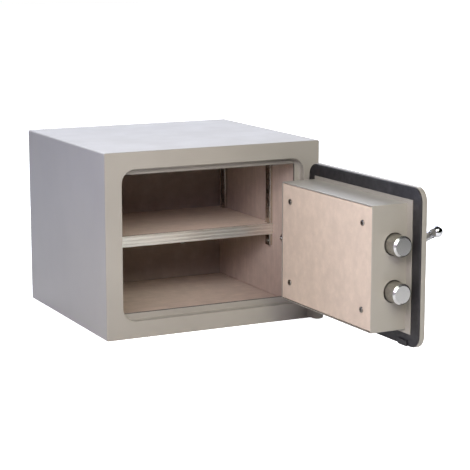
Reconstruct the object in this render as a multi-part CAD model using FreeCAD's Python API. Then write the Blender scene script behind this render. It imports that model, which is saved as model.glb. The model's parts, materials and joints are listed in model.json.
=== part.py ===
import FreeCAD, Part
import math
import os

# Fire-resistant document safe with a hinged inset door, a three-spoke handle and one shelf.
# Millimetres. Origin: centre of the base. X to the right, Y to the back, Z up.
# The cabinet stands with its door swung open by OPEN_ANGLE and its bolts drawn back.

Vec = FreeCAD.Vector
X_AXIS = Vec(1, 0, 0)
Y_AXIS = Vec(0, 1, 0)
Z_AXIS = Vec(0, 0, 1)

# ---------------------------------------------------------------- cabinet
BODY_W = 446.0
BODY_D = 410.0
BODY_H = 350.0
FRONT = -BODY_D / 2
BACK = BODY_D / 2
MID_Z = BODY_H / 2
SKIN = 1.5              # casing sheet
FACE_T = 3.0            # front plate
FIT = 0.1               # gap between pieces that lie against each other

OPENING_W = 379.0       # door opening in the front plate
OPENING_H = 285.0
OPENING_R = 26.5
RECESS = 17.0           # depth of the rebate that takes the door plate
RECESS_T = 2.0
LIP = 11.5              # width of the rebate's lip
FREE_LIP = 5.5          # narrower on the free side, so that the drawn bolts swing past it
LIP_T = 3.0
THROAT_R = 3.5
STRIP_T = 1.0            # black edging round the lip
REBATE_BEND = 3.5        # where the lip is folded in from the rebate
CORNER_R = 3.0          # folds of the cabinet

CAVITY_HALF_W = 188.0   # to the face of the side linings
FLOOR_Z = 23.0
CEILING_Z = BODY_H - FLOOR_Z
CAVITY_BACK = 160.0
LINING_T = 2.5
LINER_T = 1.0
LINING_FRONT = FRONT + RECESS + LIP_T + 0.5

ANCHOR_X = 100.0        # two wall anchors, 200 mm apart
ANCHOR_Z = 100.0
ANCHOR_R = 6.5

# ---------------------------------------------------------------- door
DOOR_GAP = 1.5
PLATE_W = OPENING_W - 2 * DOOR_GAP
PLATE_H = OPENING_H - 2 * DOOR_GAP
PLATE_R = OPENING_R - DOOR_GAP
PLATE_T = 10.0
SEAL_T = 3.3
HINGE_EDGE = PLATE_W / 2
PIVOT_X = 210.0
PIVOT_Y = FRONT - 21.0
OPEN_ANGLE = 91.0

# Distances in the door: u from the hinge edge towards the free edge, w inwards from the outer face.
BOX_U = (24.6, 337.0)
BOX_Z = (63.7, 286.3)
BOX_W = 85.5
SHEET = 1.5
FLANGE_U = 351.5
FLANGE_Z = (57.2, 292.8)
WORKS_W = PLATE_T + SEAL_T + FIT    # where the parts on the back of the fire seal begin
PANEL_T = 2.2
PANEL_W1 = BOX_W - 0.7
PANEL_SCREW_U = (55.5, 305.5)
PANEL_SCREW_Z = (99.8, 252.6)
PANEL_HOLE_R = 2.3
INFILL_T = 20.0
REST_PAD_U = (317.0, 343.0)
REST_PAD_Z = (34.2, 45.0)
REST_PAD_T = 2.7

# ---------------------------------------------------------------- boltwork
BOLT_R = 18.5
BOLT_W = 40.3
BOLT_RISE = 41.5        # each bolt above or below the door's middle
BOLT_TIP = 366.0        # drawn back
BOLT_TAIL = 296.1
BOLT_THROW = 18.0
BOLT_TAIL_R = 6.0
BOLT_THROW_END = BOLT_TIP + BOLT_THROW
BAR_U = (288.2, 296.0)
BAR_W = (30.0, 50.0)
BAR_HALF_H = 67.0
NUT_ACROSS = 19.0
NUT_T = 6.5
BOLT_GAP = 2.0           # round each bolt where it leaves the lock box
BUSH_L = 15.0
BUSH_WALL = 3.2
BUSH_SET = 6.0          # how far the bushes stand back from the lock box's side
RUNNING = 0.06          # radial clearance of a part that turns or slides
FIXED = 0.02            # radial clearance of a part held in a hole
SOCKET_R = BOLT_R + 1.5
SOCKET_END = HINGE_EDGE - BOLT_THROW_END - 4.0
DOG_R = 10.0            # fixed bolt on the hinge side
DOG_W = 68.0
DOG_TIP = 2.5

HANDLE_U = 260.8
HANDLE_Z = 192.2
SPINDLE_R = 6.0
GEAR_MODULE = 1.5
PINION_TEETH = 16
PINION_R = GEAR_MODULE * PINION_TEETH / 2
GEAR_W = (34.5, 45.5)
BACKLASH = 0.25
PRESSURE = math.radians(20)
RACK_START = 232.0
RACK_PITCH_Z = HANDLE_Z - PINION_R
RACK_BOTTOM = RACK_PITCH_Z - 10.0
GUIDE_U = (240.0, 264.0)
GUIDE_H = 12.0

SPINDLE_W = (-27.0, 48.0)
ROSE_R = 26.0
ROSE_T = 7.0
HUB_R = 17.0
HUB_FACE = -50.0
SPOKE_W = -34.3         # where the spokes' axes meet
SPOKE_LEAN = 18.0
SPOKE_TURN = (30.0, 150.0, 270.0)
SPOKE_REACH = 71.0
SPOKE_R = 7.7
SPOKE_SEAT = 10.5

KEY_U = 250.0
KEY_Z = 118.0
DRUM_R = 8.0
CASE_U = (206.0, 278.0)
CASE_Z = (88.0, 148.0)
CASE_W = WORKS_W + 20.0
CASE_WALL = 1.5
LOCK_BOLT_U = (262.0, 279.0)
LOCK_BOLT_W = (WORKS_W + 3.6, WORKS_W + 14.0)
LOCK_BOLT_Z = (110.0, 126.0)
ESCUTCHEON_R = 20.0
ESCUTCHEON_T = 2.4
COVER_T = 2.2
COVER_RISE = 12.0       # from the keyhole to the rivet its cover hangs on
RIVET_R = 2.0

# ---------------------------------------------------------------- hinge
KNUCKLE_R = 12.0
KNUCKLE_L = 30.0
PIN_R = 5.0
PIN_FOOT = 4.0          # how far the pin starts above the lower barrel's base
PIN_L = 2 * KNUCKLE_L - 7.5
WASHER_T = 1.0
STRAP_T = 9.0
STRAP_END = 128.0
HINGE_BASES = {"lower": 4.0, "upper": 230.0}

# ---------------------------------------------------------------- shelf
SHELF_TOP = 169.0
SHELF_BOTTOM = 149.0
SHELF_FRONT = -84.0
SHELF_BACK = 157.0
SHELF_HALF_W = CAVITY_HALF_W - 1.0
SHELF_SHEET = 1.5
TRIM_T = 4.0
MAT_T = 2.0
MAT_TOP = SHELF_TOP + FIT + MAT_T
UPRIGHT_T = 6.0
UPRIGHT_W = 19.0
UPRIGHT_SHEET = 1.2
UPRIGHT_X = CAVITY_HALF_W - UPRIGHT_T
UPRIGHT_BOTTOM = 125.0
UPRIGHT_FRONTS = {"front": -79.5, "rear": 124.0}
SLOT_PITCH = 19.5
SLOT_W = 7.0
SLOT_H = 11.0


# ================================================================ helpers
def block(x0, x1, y0, y1, z0, z1):
    return Part.makeBox(x1 - x0, y1 - y0, z1 - z0, Vec(x0, y0, z0))


def rod(start, length, radius, axis):
    return Part.makeCylinder(radius, length, start, axis)


def fillet_edges(shape, radius, wanted):
    edges = [edge for edge in shape.Edges if wanted(edge)]
    return shape.makeFillet(radius, edges)


def runs_along(edge, axis):
    if not isinstance(edge.Curve, Part.Line):
        return False
    return abs(abs(edge.tangentAt(edge.FirstParameter).dot(axis)) - 1) < 1e-6


def lies_at(edge, axis, value):
    box = edge.BoundBox
    low = Vec(box.XMin, box.YMin, box.ZMin).dot(axis)
    high = Vec(box.XMax, box.YMax, box.ZMax).dot(axis)
    return abs(low - value) < 1e-4 and abs(high - value) < 1e-4


def rounded_slab(x0, x1, y0, y1, z0, z1, radius):
    slab = block(x0, x1, y0, y1, z0, z1)
    return fillet_edges(slab, radius, lambda edge: runs_along(edge, Y_AXIS))


def centred_slab(width, height, y0, y1, radius):
    return rounded_slab(-width / 2, width / 2, y0, y1, MID_Z - height / 2, MID_Z + height / 2, radius)


def door_block(u0, u1, w0, w1, z0, z1):
    return block(HINGE_EDGE - u1, HINGE_EDGE - u0, FRONT + w0, FRONT + w1, z0, z1)


def door_rod(u, z, w0, w1, radius):
    """A round bar square to the door's face."""
    return rod(Vec(HINGE_EDGE - u, FRONT + w0, z), w1 - w0, radius, Y_AXIS)


def bolt_rod(w, z, u0, u1, radius):
    """A round bar that lies across the door, along the bolts."""
    return rod(Vec(HINGE_EDGE - u1, FRONT + w, z), u1 - u0, radius, X_AXIS)


def save(name, *solids):
    shape = solids[0] if len(solids) == 1 else Part.makeCompound(list(solids))
    shape.exportStep("parts/" + name + ".step")


def save_on_door(name, *solids):
    pivot = Vec(PIVOT_X, PIVOT_Y, 0)
    save(name, *[solid.rotated(pivot, Z_AXIS, OPEN_ANGLE) for solid in solids])


def bolt_heights():
    return (MID_Z + BOLT_RISE, MID_Z - BOLT_RISE)


# ================================================================ cabinet
def anchor_holes(y0, y1):
    holes = [rod(Vec(side * ANCHOR_X, y0, ANCHOR_Z), y1 - y0, ANCHOR_R, Y_AXIS) for side in (-1, 1)]
    return Part.makeCompound(holes)


def make_outer_casing():
    """Folded sheet round the top, bottom and sides, open at both ends."""
    front = FRONT + FACE_T + FIT
    outside = centred_slab(BODY_W, BODY_H, front, BACK, CORNER_R)
    inside = centred_slab(BODY_W - 2 * SKIN, BODY_H - 2 * SKIN, front - 1, BACK + 1, CORNER_R - SKIN)
    save("outer_casing", outside.cut(inside))


def make_back_plate():
    inset = SKIN + FIT
    plate = centred_slab(BODY_W - 2 * inset, BODY_H - 2 * inset, BACK - SKIN, BACK, 1.4)
    save("back_plate", plate.cut(anchor_holes(BACK - 5, BACK + 5)))


def make_front_frame():
    """Front plate with the stepped rebate that the door closes into."""
    face_round = 1.6
    mouth_round = 0.8
    face = centred_slab(BODY_W, BODY_H, FRONT, FRONT + FACE_T, CORNER_R)
    face = fillet_edges(face, face_round, lambda edge: lies_at(edge, Y_AXIS, FRONT))
    lip_back = FRONT + RECESS + LIP_T
    rebate = centred_slab(
        OPENING_W + 2 * RECESS_T, OPENING_H + 2 * RECESS_T, FRONT + 0.5, lip_back, OPENING_R + RECESS_T
    )
    mouth = centred_slab(OPENING_W, OPENING_H, FRONT - 1, FRONT + RECESS, OPENING_R)
    mouth = fillet_edges(mouth, REBATE_BEND, lambda edge: lies_at(edge, Y_AXIS, FRONT + RECESS))
    frame = face.fuse(rebate).cut(mouth).cut(throat_slab(FRONT, lip_back + 1, 0)).removeSplitter()

    def is_mouth_edge(edge):
        box = edge.BoundBox
        inside = box.XMax < OPENING_W / 2 + 0.01 and box.XMin > -OPENING_W / 2 - 0.01
        return inside and lies_at(edge, Y_AXIS, FRONT)

    save("front_frame", fillet_edges(frame, mouth_round, is_mouth_edge))


def throat_slab(y0, y1, inset):
    """The opening inside the lip, drawn in by inset on every side."""
    return rounded_slab(
        -OPENING_W / 2 + FREE_LIP + inset, OPENING_W / 2 - LIP - inset, y0, y1,
        MID_Z - OPENING_H / 2 + LIP + inset, MID_Z + OPENING_H / 2 - LIP - inset, THROAT_R - inset,
    )


def make_throat_strip():
    """Thin black edging on the lip's inner edge."""
    y0 = FRONT + RECESS + FIT
    y1 = FRONT + RECESS + LIP_T
    save("throat_strip", throat_slab(y0, y1, FIT / 2).cut(throat_slab(y0 - 1, y1 + 1, FIT / 2 + STRIP_T)))


def socket_holes(radius, x0, x1):
    """Round holes in the free side's wall, in line with the bolts of the closed door."""
    y = FRONT + BOLT_W
    return Part.makeCompound([rod(Vec(x0, y, z), x1 - x0, radius, X_AXIS) for z in bolt_heights()])


def make_insulation():
    """Cast fire-resistant panels between the casing and the liner."""
    stack = LINING_T + LINER_T + 2 * FIT
    skin = SKIN + FIT
    side_in = CAVITY_HALF_W + stack
    side_out = BODY_W / 2 - skin
    front = FRONT + FACE_T + FIT
    back = BACK - skin
    low = FLOOR_Z - stack
    high = CEILING_Z + stack
    rear = CAVITY_BACK + stack
    left = block(-side_out, -side_in, front, rear - FIT, low, high)
    save("insulation_left", left.cut(socket_holes(SOCKET_R + 0.2, SOCKET_END - FIT, 0)))
    save("insulation_right", block(side_in, side_out, front, rear - FIT, low, high))
    roof = BODY_H - skin
    bottom = block(-side_out, side_out, front, rear - FIT, skin, low - FIT)
    bottom = fillet_edges(bottom, SKIN, lambda e: runs_along(e, Y_AXIS) and lies_at(e, Z_AXIS, skin))
    save("insulation_bottom", bottom)
    top = block(-side_out, side_out, front, rear - FIT, high + FIT, roof)
    top = fillet_edges(top, SKIN, lambda e: runs_along(e, Y_AXIS) and lies_at(e, Z_AXIS, roof))
    save("insulation_top", top)
    slab = rounded_slab(-side_out, side_out, rear, back, skin, roof, SKIN)
    save("insulation_back", slab.cut(anchor_holes(rear - 5, back + 5)))


def make_inner_liner():
    """Sheet-metal box that holds the linings, open to the front."""
    reach = LINING_T + FIT
    front = LINING_FRONT
    outside = block(
        -CAVITY_HALF_W - reach - LINER_T, CAVITY_HALF_W + reach + LINER_T,
        front, CAVITY_BACK + reach + LINER_T,
        FLOOR_Z - reach - LINER_T, CEILING_Z + reach + LINER_T,
    )
    inside = block(
        -CAVITY_HALF_W - reach, CAVITY_HALF_W + reach,
        front - 1, CAVITY_BACK + reach,
        FLOOR_Z - reach, CEILING_Z + reach,
    )
    liner = outside.cut(inside).cut(anchor_holes(CAVITY_BACK, BACK))
    save("inner_liner", liner.cut(socket_holes(SOCKET_R + 0.2, -CAVITY_HALF_W - 10, -CAVITY_HALF_W + 5)))


def make_linings():
    """Felt-faced boards on every side of the cavity."""
    wide = CAVITY_HALF_W + LINING_T
    rear = CAVITY_BACK + LINING_T
    low = FLOOR_Z + FIT
    high = CEILING_Z - FIT
    save("lining_floor", block(-wide, wide, LINING_FRONT, rear, FLOOR_Z - LINING_T, FLOOR_Z))
    save("lining_ceiling", block(-wide, wide, LINING_FRONT, rear, CEILING_Z, CEILING_Z + LINING_T))
    left = block(-wide, -CAVITY_HALF_W, LINING_FRONT, rear, low, high)
    save("lining_left", left.cut(socket_holes(SOCKET_R + 0.2, -wide - 1, -CAVITY_HALF_W + 1)))
    save("lining_right", block(CAVITY_HALF_W, wide, LINING_FRONT, rear, low, high))
    inner = CAVITY_HALF_W - FIT
    back = block(-inner, inner, CAVITY_BACK, rear, low, high)
    save("lining_back", back.cut(anchor_holes(CAVITY_BACK - 1, rear + 1)))


def make_bolt_sockets():
    """Steel cups in the free side's wall that receive the thrown bolts."""
    wall = 1.0
    rim = -CAVITY_HALF_W
    y = FRONT + BOLT_W
    cups = []
    for z in bolt_heights():
        cup = rod(Vec(SOCKET_END, y, z), rim - SOCKET_END, SOCKET_R, X_AXIS)
        bore = rod(Vec(SOCKET_END + wall, y, z), rim - SOCKET_END, SOCKET_R - wall, X_AXIS)
        cups.append(cup.cut(bore))
    save("bolt_sockets", *cups)


# ================================================================ shelf and its uprights
def upright_shape(front):
    """A slotted channel on the right wall; the left wall takes its mirror image."""
    sheet = UPRIGHT_SHEET
    wall_x = CAVITY_HALF_W - FIT
    top = CEILING_Z - 1.0
    end = 16.0
    channel = block(UPRIGHT_X, wall_x, front, front + UPRIGHT_W, UPRIGHT_BOTTOM, top)
    channel = fillet_edges(channel, 0.9, lambda e: runs_along(e, Z_AXIS) and lies_at(e, X_AXIS, UPRIGHT_X))
    hollow = block(
        UPRIGHT_X + sheet, wall_x + 1, front + sheet, front + UPRIGHT_W - sheet, UPRIGHT_BOTTOM - 1, top + 1
    )
    channel = channel.cut(hollow)
    middle = front + UPRIGHT_W / 2
    y0 = middle - SLOT_W / 2
    slots = []
    z = UPRIGHT_BOTTOM + end
    while z < top - end:
        slots.append(block(UPRIGHT_X - 1, UPRIGHT_X + 3, y0, y0 + SLOT_W, z, z + SLOT_H))
        z += SLOT_PITCH
    holes = [rod(Vec(UPRIGHT_X - 1, middle, z), 3, 2.0, X_AXIS) for z in screw_heights()]
    return channel.cut(Part.makeCompound(slots + holes))


def screw_heights():
    return (UPRIGHT_BOTTOM + 8.0, CEILING_Z - 9.0)


def mirrored(shape):
    return shape.mirror(Vec(0, 0, 0), X_AXIS)


def make_uprights():
    screws = []
    for place, front in UPRIGHT_FRONTS.items():
        right = upright_shape(front)
        save("upright_right_" + place, right)
        save("upright_left_" + place, mirrored(right))
        for z in screw_heights():
            screw = upright_screw(front + UPRIGHT_W / 2, z)
            screws += [screw, mirrored(screw)]
    save("upright_screws", *screws)


def upright_screw(y, z):
    head_t = 0.9
    head_r = 3.6
    shank_r = 1.8
    head = rod(Vec(UPRIGHT_X - head_t - FIT / 2, y, z), head_t, head_r, X_AXIS)
    shank = rod(Vec(UPRIGHT_X - FIT, y, z), UPRIGHT_T, shank_r, X_AXIS)
    return head.fuse(shank).removeSplitter()


def shelf_notches(z0, z1):
    """Clearance round the uprights, cut from the shelf's four side edges."""
    play = 1.0
    depth_x = UPRIGHT_X - 1.5
    notches = []
    for front in UPRIGHT_FRONTS.values():
        right = block(depth_x, CAVITY_HALF_W + 5, front - play, front + UPRIGHT_W + play, z0, z1)
        notches += [right, mirrored(right)]
    return Part.makeCompound(notches)


def make_shelf():
    half = SHELF_HALF_W
    sheet = SHELF_SHEET
    front = SHELF_FRONT + TRIM_T + FIT
    tray = block(-half, half, front, SHELF_BACK, SHELF_BOTTOM, SHELF_TOP)
    inner = half - sheet
    hollow = block(-inner, inner, front + sheet, SHELF_BACK - sheet, SHELF_BOTTOM - 1, SHELF_TOP - sheet)
    save("shelf_tray", tray.cut(hollow).cut(shelf_notches(SHELF_BOTTOM - 5, SHELF_TOP + 5)))
    mat = block(-half, half, front, SHELF_BACK, SHELF_TOP + FIT, MAT_TOP)
    save("shelf_mat", mat.cut(shelf_notches(SHELF_TOP - 5, MAT_TOP + 5)))
    save("shelf_trim", shelf_trim())


def shelf_trim():
    """Extruded front profile with three shallow rounded grooves along it."""
    below_mat = 1.2
    groove_r = 3.0
    groove_d = 1.0
    edge_round = 1.0
    half = SHELF_HALF_W
    top = MAT_TOP - below_mat
    trim = block(-half, half, SHELF_FRONT, SHELF_FRONT + TRIM_T, SHELF_BOTTOM - 0.5, top)
    trim = fillet_edges(trim, edge_round, lambda e: runs_along(e, X_AXIS) and lies_at(e, Y_AXIS, SHELF_FRONT))
    groove_y = SHELF_FRONT + groove_d - groove_r
    for drop in (3.8, 10.6, 17.4):
        trim = trim.cut(rod(Vec(-half - 1, groove_y, top - drop), 2 * half + 2, groove_r, X_AXIS))
    return trim


def make_shelf_clips():
    """Hooked clips in the uprights' slots that carry the shelf from below."""
    width = 6.0
    ledge_t = 1.4
    ledge_l = 14.0
    hook_drop = 5.2
    under = SHELF_TOP - SHELF_SHEET - FIT
    face_x = UPRIGHT_X - FIT
    clips = []
    for front in UPRIGHT_FRONTS.values():
        y0 = front + UPRIGHT_W / 2 - width / 2
        ledge = block(UPRIGHT_X - ledge_l, face_x, y0, y0 + width, under - ledge_t, under)
        drop = block(face_x - UPRIGHT_SHEET, face_x, y0, y0 + width, under - ledge_l, under)
        hook_z = under - hook_drop
        hook = block(face_x, UPRIGHT_X + 2.6, y0, y0 + width, hook_z, hook_z + 2.0)
        clip = ledge.fuse([drop, hook]).removeSplitter()
        clips += [clip, mirrored(clip)]
    save("shelf_clips", *clips)


# ================================================================ hinges
def make_hinges():
    pins = []
    washers = []
    for place, base in HINGE_BASES.items():
        seat = base + KNUCKLE_L
        save("hinge_fixed_" + place, fixed_knuckle(base))
        save_on_door("hinge_arm_" + place, hinge_arm(seat + WASHER_T + 2 * FIT))
        pins.append(rod(Vec(PIVOT_X, PIVOT_Y, base + PIN_FOOT), PIN_L, PIN_R, Z_AXIS))
        washer = rod(Vec(PIVOT_X, PIVOT_Y, seat + FIT), WASHER_T, KNUCKLE_R - 0.5, Z_AXIS)
        washers.append(washer.cut(rod(Vec(PIVOT_X, PIVOT_Y, seat - 1), 4, PIN_R + 0.1, Z_AXIS)))
    save("hinge_pins", *pins)
    save("hinge_washers", *washers)


def fixed_knuckle(base):
    """Barrel and block welded to the front plate, bored from above for the pin."""
    barrel = rod(Vec(PIVOT_X, PIVOT_Y, base), KNUCKLE_L, KNUCKLE_R, Z_AXIS)
    foot = block(PIVOT_X - KNUCKLE_R, PIVOT_X + KNUCKLE_R, PIVOT_Y, FRONT - FIT, base, base + KNUCKLE_L)
    knuckle = barrel.fuse(foot).removeSplitter()

    def is_lower_rim(edge):
        return lies_at(edge, Z_AXIS, base) and not lies_at(edge, Y_AXIS, FRONT - FIT)

    knuckle = fillet_edges(knuckle, 2.5, is_lower_rim)
    return knuckle.cut(rod(Vec(PIVOT_X, PIVOT_Y, base + PIN_FOOT - FIT), KNUCKLE_L, PIN_R + FIXED, Z_AXIS))


def hinge_arm(base):
    """Barrel and strap welded to the door plate's outer face, bored from below."""
    seat_y = FRONT - FIT / 2
    outline = [
        (STRAP_END, seat_y), (HINGE_EDGE, seat_y), (HINGE_EDGE + 8, FRONT - 4),
        (PIVOT_X, PIVOT_Y + KNUCKLE_R), (PIVOT_X, PIVOT_Y), (PIVOT_X - 10, PIVOT_Y - 6.6),
        (HINGE_EDGE - 2, FRONT - STRAP_T), (STRAP_END, FRONT - STRAP_T),
    ]
    points = [Vec(x, y, base) for x, y in outline]
    strap = Part.Face(Part.makePolygon(points + points[:1])).extrude(Vec(0, 0, KNUCKLE_L))
    strap = fillet_edges(strap, 7.0, lambda e: runs_along(e, Y_AXIS) and lies_at(e, X_AXIS, STRAP_END))
    barrel = rod(Vec(PIVOT_X, PIVOT_Y, base), KNUCKLE_L, KNUCKLE_R, Z_AXIS)
    arm = strap.fuse(barrel).removeSplitter()
    return arm.cut(rod(Vec(PIVOT_X, PIVOT_Y, base - 1), KNUCKLE_L - 3, PIN_R + RUNNING, Z_AXIS))


# ================================================================ door
def make_door_plate():
    outer_round = 2.0
    plate = centred_slab(PLATE_W, PLATE_H, FRONT, FRONT + PLATE_T, PLATE_R)
    plate = fillet_edges(plate, outer_round, lambda e: lies_at(e, Y_AXIS, FRONT))
    plate = fillet_edges(plate, 0.8, lambda e: lies_at(e, Y_AXIS, FRONT + PLATE_T))
    save_on_door("door_plate", plate.cut(spindle_hole()).cut(drum_hole()))


def spindle_hole():
    return door_rod(HANDLE_U, HANDLE_Z, -5, WORKS_W + 5, SPINDLE_R + RUNNING)


def drum_hole():
    return door_rod(KEY_U, KEY_Z, -5, WORKS_W + 5, DRUM_R + RUNNING)


def make_fire_seal():
    """Black expanding sheet over the whole back of the door plate."""
    inset = 1.0
    w0 = PLATE_T + FIT
    sheet = centred_slab(
        PLATE_W - 2 * inset, PLATE_H - 2 * inset, FRONT + w0, FRONT + PLATE_T + SEAL_T, PLATE_R - inset
    )
    sheet = fillet_edges(sheet, 1.2, lambda e: lies_at(e, Y_AXIS, FRONT + PLATE_T + SEAL_T))
    save_on_door("fire_seal", sheet.cut(spindle_hole()).cut(drum_hole()))


def make_lock_box():
    """Folded cover round the boltwork, with a flange on its top, bottom and free side."""
    bend = 2.0
    rim_round = 0.7
    u0, u1 = BOX_U
    z0, z1 = BOX_Z
    shell = door_block(u0, u1, WORKS_W, BOX_W, z0, z1)
    shell = fillet_edges(shell, bend, lambda e: runs_along(e, Y_AXIS))
    flange = door_block(u0, FLANGE_U, WORKS_W, WORKS_W + SHEET, FLANGE_Z[0], FLANGE_Z[1])
    inside = door_block(u0 + SHEET, u1 - SHEET, WORKS_W - 1, BOX_W + 1, z0 + SHEET, z1 - SHEET)
    shell = fillet_edges(shell, rim_round, lambda e: lies_at(e, Y_AXIS, FRONT + BOX_W))
    box = shell.fuse(flange).cut(inside).removeSplitter()
    for z in bolt_heights():
        box = box.cut(bolt_rod(BOLT_W, z, u1 - 10, u1 + 5, BOLT_R + BOLT_GAP))
    save_on_door("lock_box", box.cut(bolt_rod(DOG_W, MID_Z, u0 - 5, u0 + 10, DOG_R + RUNNING)))


def panel_screw_places():
    return [(u, z) for u in PANEL_SCREW_U for z in PANEL_SCREW_Z]


def panel_screw_holes():
    w0 = PANEL_W1 - PANEL_T - INFILL_T - 5
    return Part.makeCompound([door_rod(u, z, w0, BOX_W + 5, PANEL_HOLE_R) for u, z in panel_screw_places()])


def make_back_panel():
    """Felt-faced board that closes the lock box, with a gap inside the box's rim."""
    rim_gap = 1.4
    inset = SHEET + rim_gap
    board = door_block(
        BOX_U[0] + inset, BOX_U[1] - inset, PANEL_W1 - PANEL_T, PANEL_W1, BOX_Z[0] + inset, BOX_Z[1] - inset
    )
    save_on_door("back_panel", board.cut(panel_screw_holes()))


def make_door_insulation():
    w1 = PANEL_W1 - PANEL_T - FIT
    slab = door_block(BOX_U[0] + 9, BOX_U[1] - 4, w1 - INFILL_T, w1, BOX_Z[0] + 4, BOX_Z[1] - 4)
    save_on_door("door_insulation", slab.cut(panel_screw_holes()))


def make_panel_screws():
    head_r = 5.4
    head_t = 2.2
    shank_r = 2.0
    shank_l = 16.0
    seat = PANEL_W1 + FIT / 2
    screws = []
    for u, z in panel_screw_places():
        head = door_rod(u, z, seat, seat + head_t, head_r)
        head = fillet_edges(head, 1.2, lambda e: lies_at(e, Y_AXIS, FRONT + seat + head_t))
        shank = door_rod(u, z, PANEL_W1 - shank_l, PANEL_W1 + 0.5, shank_r)
        screw = head.fuse(shank).removeSplitter()
        screws.append(screw.cut(cross_recess(u, z, seat + 0.8)))
    save_on_door("panel_screws", *screws)


def cross_recess(u, z, w0):
    arm = 3.3
    half = 0.8
    upright = door_block(u - half, u + half, w0, w0 + 5, z - arm, z + arm)
    level = door_block(u - arm, u + arm, w0, w0 + 5, z - half, z + half)
    return upright.fuse(level)


def make_rest_pad():
    """Black block under the door's free corner that rides onto the rebate."""
    pad = door_block(*REST_PAD_U, WORKS_W, WORKS_W + REST_PAD_T, *REST_PAD_Z)
    save_on_door("door_rest_pad", fillet_edges(pad, 1.0, lambda e: runs_along(e, X_AXIS)))


def make_hinge_side_bolt():
    """Fixed bolt that hooks behind the hinge side's lip when the door is shut."""
    head = bolt_rod(DOG_W, MID_Z, BOX_U[0] + SHEET + FIT, BOX_U[0] + 6, DOG_R + 4)
    shank = bolt_rod(DOG_W, MID_Z, DOG_TIP, BOX_U[0] + 3, DOG_R)
    shank = fillet_edges(shank, 3.0, lambda e: lies_at(e, X_AXIS, HINGE_EDGE - DOG_TIP))
    save_on_door("hinge_side_bolt", head.fuse(shank).removeSplitter())


def make_bolt_bushes():
    """Plain bearings inside the lock box that guide the bolts."""
    u1 = BOX_U[1] - SHEET - BUSH_SET
    bushes = []
    for z in bolt_heights():
        bush = bolt_rod(BOLT_W, z, u1 - BUSH_L, u1, BOLT_R + BUSH_WALL)
        bushes.append(bush.cut(bolt_rod(BOLT_W, z, u1 - BUSH_L - 5, u1 + 5, BOLT_R + RUNNING)))
    save_on_door("bolt_bushes", *bushes)


def make_rack_guide():
    top = RACK_BOTTOM - 2 * FIT
    guide = door_block(*GUIDE_U, WORKS_W, BAR_W[1], top - GUIDE_H, top)
    save_on_door("rack_guide", fillet_edges(guide, 2.0, lambda e: runs_along(e, Y_AXIS)))


# ================================================================ boltwork
def make_bolts():
    """Two round bolts with a chamfered end and a turned tail that takes the bar."""
    chamfer = 3.2
    for name, z in zip(("bolt_upper", "bolt_lower"), bolt_heights()):
        body = bolt_rod(BOLT_W, z, BOLT_TAIL, BOLT_TIP, BOLT_R)
        rim = [edge for edge in body.Edges if lies_at(edge, X_AXIS, HINGE_EDGE - BOLT_TIP)]
        body = body.makeChamfer(chamfer, rim)
        tail = bolt_rod(BOLT_W, z, BAR_U[0] - 9, BOLT_TAIL + 2, BOLT_TAIL_R)
        save_on_door(name, body.fuse(tail).removeSplitter())


def make_carriage_bar():
    bar = door_block(*BAR_U, *BAR_W, MID_Z - BAR_HALF_H, MID_Z + BAR_HALF_H)
    bar = fillet_edges(bar, 4.0, lambda e: runs_along(e, X_AXIS))
    for z in bolt_heights():
        bar = bar.cut(bolt_rod(BOLT_W, z, BAR_U[0] - 5, BAR_U[1] + 5, BOLT_TAIL_R + FIT / 2))
    save_on_door("carriage_bar", bar)


def make_bolt_nuts():
    """Hexagon nuts on the bolts' tails."""
    corner = NUT_ACROSS / math.sqrt(3)
    y = FRONT + BOLT_W
    x = HINGE_EDGE - BAR_U[0] + FIT
    nuts = []
    for z in bolt_heights():
        points = [
            Vec(x, y + corner * math.cos(math.radians(a)), z + corner * math.sin(math.radians(a)))
            for a in range(0, 361, 60)
        ]
        nut = Part.Face(Part.makePolygon(points)).extrude(Vec(NUT_T, 0, 0))
        nuts.append(nut.cut(bolt_rod(BOLT_W, z, BAR_U[0] - 20, BAR_U[1], BOLT_TAIL_R + FIT / 2)))
    save_on_door("bolt_nuts", *nuts)


def make_rack():
    """Toothed bar under the pinion; it carries the bar that joins the bolts."""
    pitch = math.pi * GEAR_MODULE
    addendum = GEAR_MODULE
    dedendum = 1.25 * GEAR_MODULE
    root_z = RACK_PITCH_Z - dedendum
    bar = door_block(RACK_START, BAR_U[0] - FIT, *GEAR_W, RACK_BOTTOM, root_z)
    half_tooth = pitch / 4 - BACKLASH / 2
    foot = half_tooth + dedendum * math.tan(PRESSURE)
    tip = half_tooth - addendum * math.tan(PRESSURE)
    tip_z = RACK_PITCH_Z + addendum
    outline = ((-foot, root_z), (-tip, tip_z), (tip, tip_z), (foot, root_z))
    teeth = []
    for step in range(-6, 4):
        u = HANDLE_U + (step + 0.5) * pitch
        points = [Vec(HINGE_EDGE - u - side, FRONT + GEAR_W[0], z) for side, z in outline]
        tooth = Part.Face(Part.makePolygon(points + points[:1]))
        teeth.append(tooth.extrude(Vec(0, GEAR_W[1] - GEAR_W[0], 0)))
    save_on_door("rack", bar.fuse(teeth).removeSplitter())


# ================================================================ handle
def involute_point(base_r, roll, turn):
    """A point on the involute of a circle of radius base_r, started at angle turn."""
    angle = turn + roll - math.atan(roll)
    radius = base_r * math.sqrt(1 + roll * roll)
    return radius * math.cos(angle), radius * math.sin(angle)


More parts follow.
